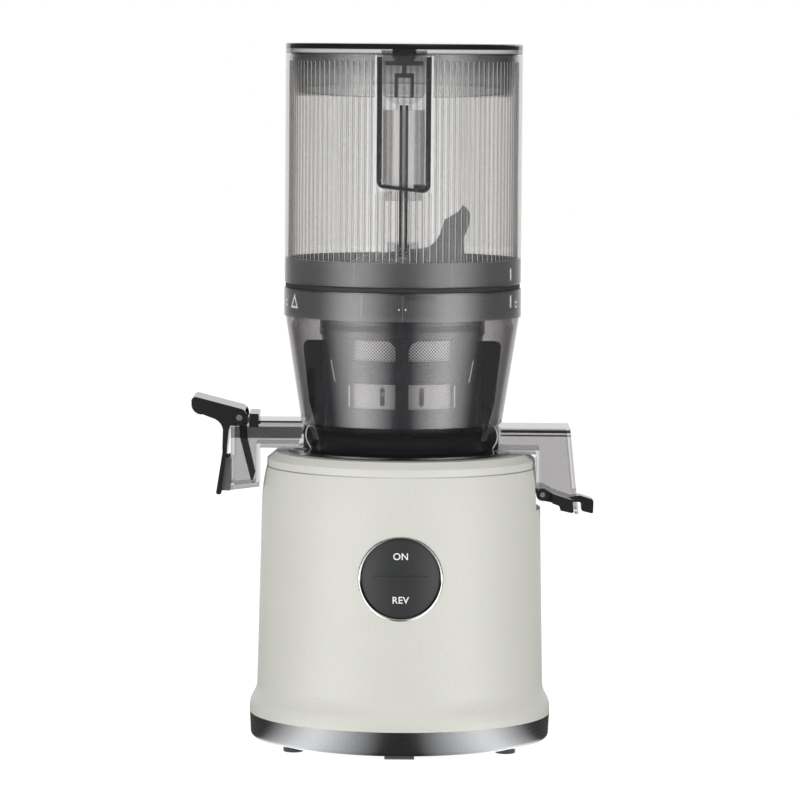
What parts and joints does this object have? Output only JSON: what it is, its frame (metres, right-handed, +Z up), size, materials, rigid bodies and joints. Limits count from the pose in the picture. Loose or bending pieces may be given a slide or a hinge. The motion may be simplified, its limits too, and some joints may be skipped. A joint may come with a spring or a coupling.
{
  "type": "cold press juicer",
  "caption": "Upright cold press juicer with a round drive base, rocker button, smoky drum with juice spout and pulp chute, and a clear fluted hopper with a lid",
  "frame": {"origin": "on the table, on the machine's vertical axis", "axes": "+Z up, -Y to the front with the button, -X to the juice spout, +X to the pulp chute"},
  "size_m": [0.2621, 0.1964, 0.456],
  "materials": {
    "cream_shell": "matte, fine dark speckle",
    "trim_grey": "satin metallic",
    "bottom_grey": "matte",
    "black_rubber": "matte",
    "zinc_screw": "zinc plated",
    "bright_bezel": "polished",
    "button_black": "satin",
    "steel": "bright",
    "inner_black": "matte",
    "board_green": "solder mask",
    "board_parts_grey": "mixed",
    "motor_steel": "zinc",
    "laminate": "stacked sheet",
    "copper": "enamelled copper wire",
    "gear_white": "moulded",
    "gearbox_alu": "die cast",
    "drum_smoke": "clear smoked",
    "clear_wall": "clear, fluted",
    "dark_smoke": "clear, dark smoked",
    "lever_black": "gloss",
    "silicone_black": "soft silicone",
    "silicone_grey": "soft silicone",
    "cage_grey": "satin",
    "mesh_steel": "etched sheet",
    "auger_grey": "satin"
  },
  "bodies": {
    "base": {"base_shell": "cream_shell", "base_top_cover": "cream_shell", "base_trim": "trim_grey", "bottom_cover": "bottom_grey", "rubber_feet": "black_rubber", "bottom_screws": "zinc_screw", "cord_gland": "black_rubber", "button_bezel": "bright_bezel", "button_pivot": "steel", "button_housing": "inner_black", "switch_board": "board_green", "push_switches": "inner_black", "control_board": "board_green", "board_parts": "board_parts_grey", "motor_can": "motor_steel", "motor_bearings": "steel", "stator": "laminate", "stator_coils": "copper", "gearbox_case": "gearbox_alu", "gearbox_lid": "gearbox_alu", "gearbox_screws": "zinc_screw", "lay_pin": "steel", "shaft_bearing": "steel", "shaft_seal": "black_rubber", "chassis_plate": "motor_steel", "chassis_screws": "zinc_screw"},
    "button": {"button_disc": "button_black"},
    "motor_rotor": {"rotor": "laminate", "motor_shaft": "steel", "cooling_fan": "inner_black"},
    "lay_axle": {"lay_gear": "gear_white"},
    "output": {"output_gear": "gear_white", "output_shaft": "steel"},
    "drum": {"juice_drum": "drum_smoke", "tube_seal": "silicone_grey", "spout_leaf": "silicone_black", "lever_bracket": "lever_black", "juice_lever_pin": "steel", "pulp_lever_pin": "steel", "strainer_frame": "cage_grey", "strainer_mesh": "mesh_steel"},
    "juice_flap": {"juice_lever": "lever_black", "lever_seal": "silicone_grey"},
    "pulp_flap": {"pulp_lever": "lever_black"},
    "screw": {"auger": "auger_grey", "auger_socket": "steel"},
    "hopper": {"hopper_ring": "dark_smoke", "hopper_seal": "silicone_black", "hopper_wall": "clear_wall", "channel_frame": "dark_smoke", "guide_tube": "clear_wall", "rod_collar": "dark_smoke", "spring_cup": "dark_smoke", "rod_spring": "steel", "lid_hinge_pin": "steel"},
    "interlock": {"interlock_rod": "lever_black"},
    "lid": {"lid_panel": "clear_wall", "lid_catch": "inner_black", "lid_cover": "dark_smoke"}
  },
  "joints": [
    {"name": "drum_lift", "type": "slide", "parent": "base", "child": "drum", "axis": [0, 0, 1], "range_m": [0, 0.06]},
    {"name": "button_rock", "type": "hinge", "parent": "base", "child": "button", "pos_m": [0, -0.0821, 0.1163], "axis": [1, 0, 0], "range_deg": [-3, 3], "stiffness_Nm_per_rad": 1},
    {"name": "output_spin", "type": "hinge", "parent": "base", "child": "output", "pos_m": [0, 0, 0.2], "axis": [0, 0, 1], "continuous": true},
    {"name": "motor_spin", "type": "hinge", "parent": "base", "child": "motor_rotor", "pos_m": [0, 0, 0.07], "axis": [0, 0, 1], "continuous": true},
    {"name": "lay_spin", "type": "hinge", "parent": "base", "child": "lay_axle", "pos_m": [0, 0.03, 0.13], "axis": [0, 0, 1], "continuous": true},
    {"name": "auger_spin", "type": "hinge", "parent": "drum", "child": "screw", "pos_m": [0, 0, 0.25], "axis": [0, 0, 1], "continuous": true},
    {"name": "juice_lever_swing", "type": "hinge", "parent": "drum", "child": "juice_flap", "pos_m": [-0.1054, 0, 0.2124], "axis": [0, 1, 0], "range_deg": [0, 55]},
    {"name": "pulp_lever_swing", "type": "hinge", "parent": "drum", "child": "pulp_flap", "pos_m": [0.0918, 0, 0.1636], "axis": [0, 1, 0], "range_deg": [0, 45]},
    {"name": "hopper_twist", "type": "hinge", "parent": "drum", "child": "hopper", "pos_m": [0, 0, 0.3], "axis": [0, 0, 1], "range_deg": [-30, 0]},
    {"name": "lid_hinge", "type": "hinge", "parent": "hopper", "child": "lid", "pos_m": [0, 0.0822, 0.4486], "axis": [-1, 0, 0], "range_deg": [0, 100]},
    {"name": "rod_slide", "type": "slide", "parent": "hopper", "child": "interlock", "axis": [0, 0, 1], "range_m": [-0.003, 0], "stiffness_N_per_m": 120, "springref_m": 0.002, "deforming": ["rod_spring"]}
  ],
  "couplings": [
    {"joint": "motor_spin", "follows": "output_spin", "ratio": 12},
    {"joint": "lay_spin", "follows": "output_spin", "ratio": -3},
    {"joint": "auger_spin", "follows": "output_spin", "ratio": 1}
  ]
}
